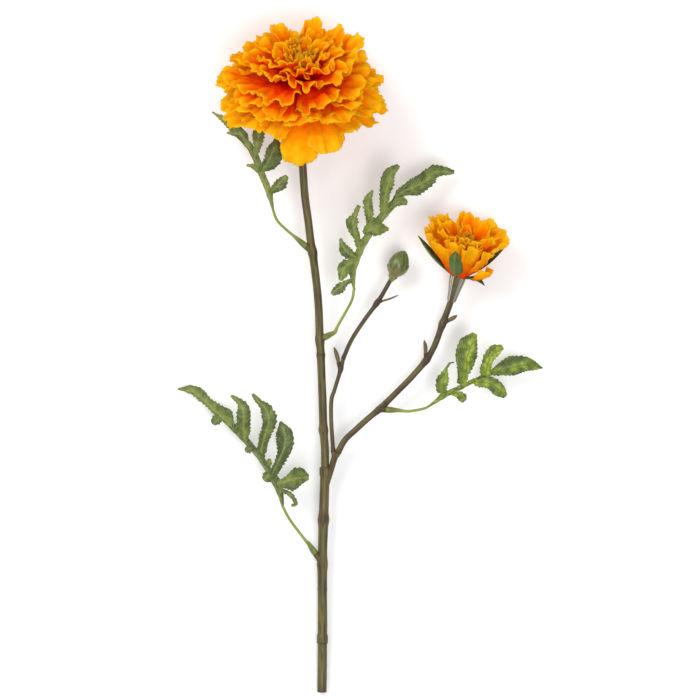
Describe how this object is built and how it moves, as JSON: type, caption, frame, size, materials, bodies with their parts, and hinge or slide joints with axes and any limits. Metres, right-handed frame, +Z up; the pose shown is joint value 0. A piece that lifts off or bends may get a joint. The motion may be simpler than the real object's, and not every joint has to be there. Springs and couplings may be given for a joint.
{
  "type": "artificial marigold flower spray",
  "caption": "Artificial marigold spray lying on a surface: ruffled orange bloom, small half-open bloom and closed bud on a branching stem with compound leaves.",
  "frame": {"origin": "on the resting surface, under the middle of the bounding box", "axes": "+Y from the cut end of the stem to the large bloom, +X to the side of the small bloom, +Z up from the resting surface"},
  "size_m": [0.227, 0.4199, 0.0957],
  "materials": {
    "stem_plastic": "moulded soft plastic, olive green streaked with purple brown",
    "stalk_plastic": "moulded soft plastic, yellow green",
    "bud_plastic": "moulded plastic, satin olive green",
    "calyx_plastic": "moulded translucent plastic, brown green with ridges",
    "leaf_fabric": "pressed and printed polyester, dull green with pale midribs",
    "bright_leaf_fabric": "pressed and printed polyester, yellow green",
    "sepal_fabric": "pressed polyester, dark green",
    "petal_fabric": "pleated polyester, dyed orange with golden yellow edges",
    "deep_petal_fabric": "pleated polyester, dyed red orange"
  },
  "bodies": {
    "root": {"stem_base": "stem_plastic", "stem_lower": "stem_plastic", "stem_middle": "stem_plastic", "stem_upper": "stem_plastic", "bud_stem_lower": "stem_plastic", "bud_stem_upper": "stem_plastic", "bloom_stem_lower": "stem_plastic", "bloom_stem_upper": "stem_plastic", "side_bud_1": "bud_plastic", "side_bud_2": "bud_plastic", "side_bud_3": "bud_plastic", "side_twig": "bud_plastic", "leaf_stalk_1": "stalk_plastic", "leaf_stalk_2": "stalk_plastic", "leaf_stalk_3": "stalk_plastic", "leaf_stalk_4": "stalk_plastic", "leaf_blade_1": "leaf_fabric", "leaf_blade_2": "leaf_fabric", "leaf_blade_3": "leaf_fabric", "leaf_blade_4": "bright_leaf_fabric", "bud_calyx": "calyx_plastic", "bud": "bud_plastic", "small_calyx": "calyx_plastic", "small_sepal_1": "sepal_fabric", "small_sepal_2": "sepal_fabric", "small_sepal_3": "sepal_fabric", "small_sepal_4": "sepal_fabric", "small_sepal_5": "sepal_fabric", "small_petals_1": "petal_fabric", "small_petals_2": "petal_fabric", "small_petals_3": "petal_fabric", "small_petals_4": "petal_fabric", "small_centre": "deep_petal_fabric", "main_calyx": "calyx_plastic", "main_sepals": "sepal_fabric", "petal_layer_1": "petal_fabric", "petal_layer_2": "petal_fabric", "petal_layer_3": "petal_fabric", "petal_layer_4": "petal_fabric", "petal_layer_5": "petal_fabric", "petal_layer_6": "petal_fabric", "petal_layer_7": "petal_fabric", "petal_layer_8": "petal_fabric", "centre_florets": "deep_petal_fabric"}
  },
  "joints": []
}
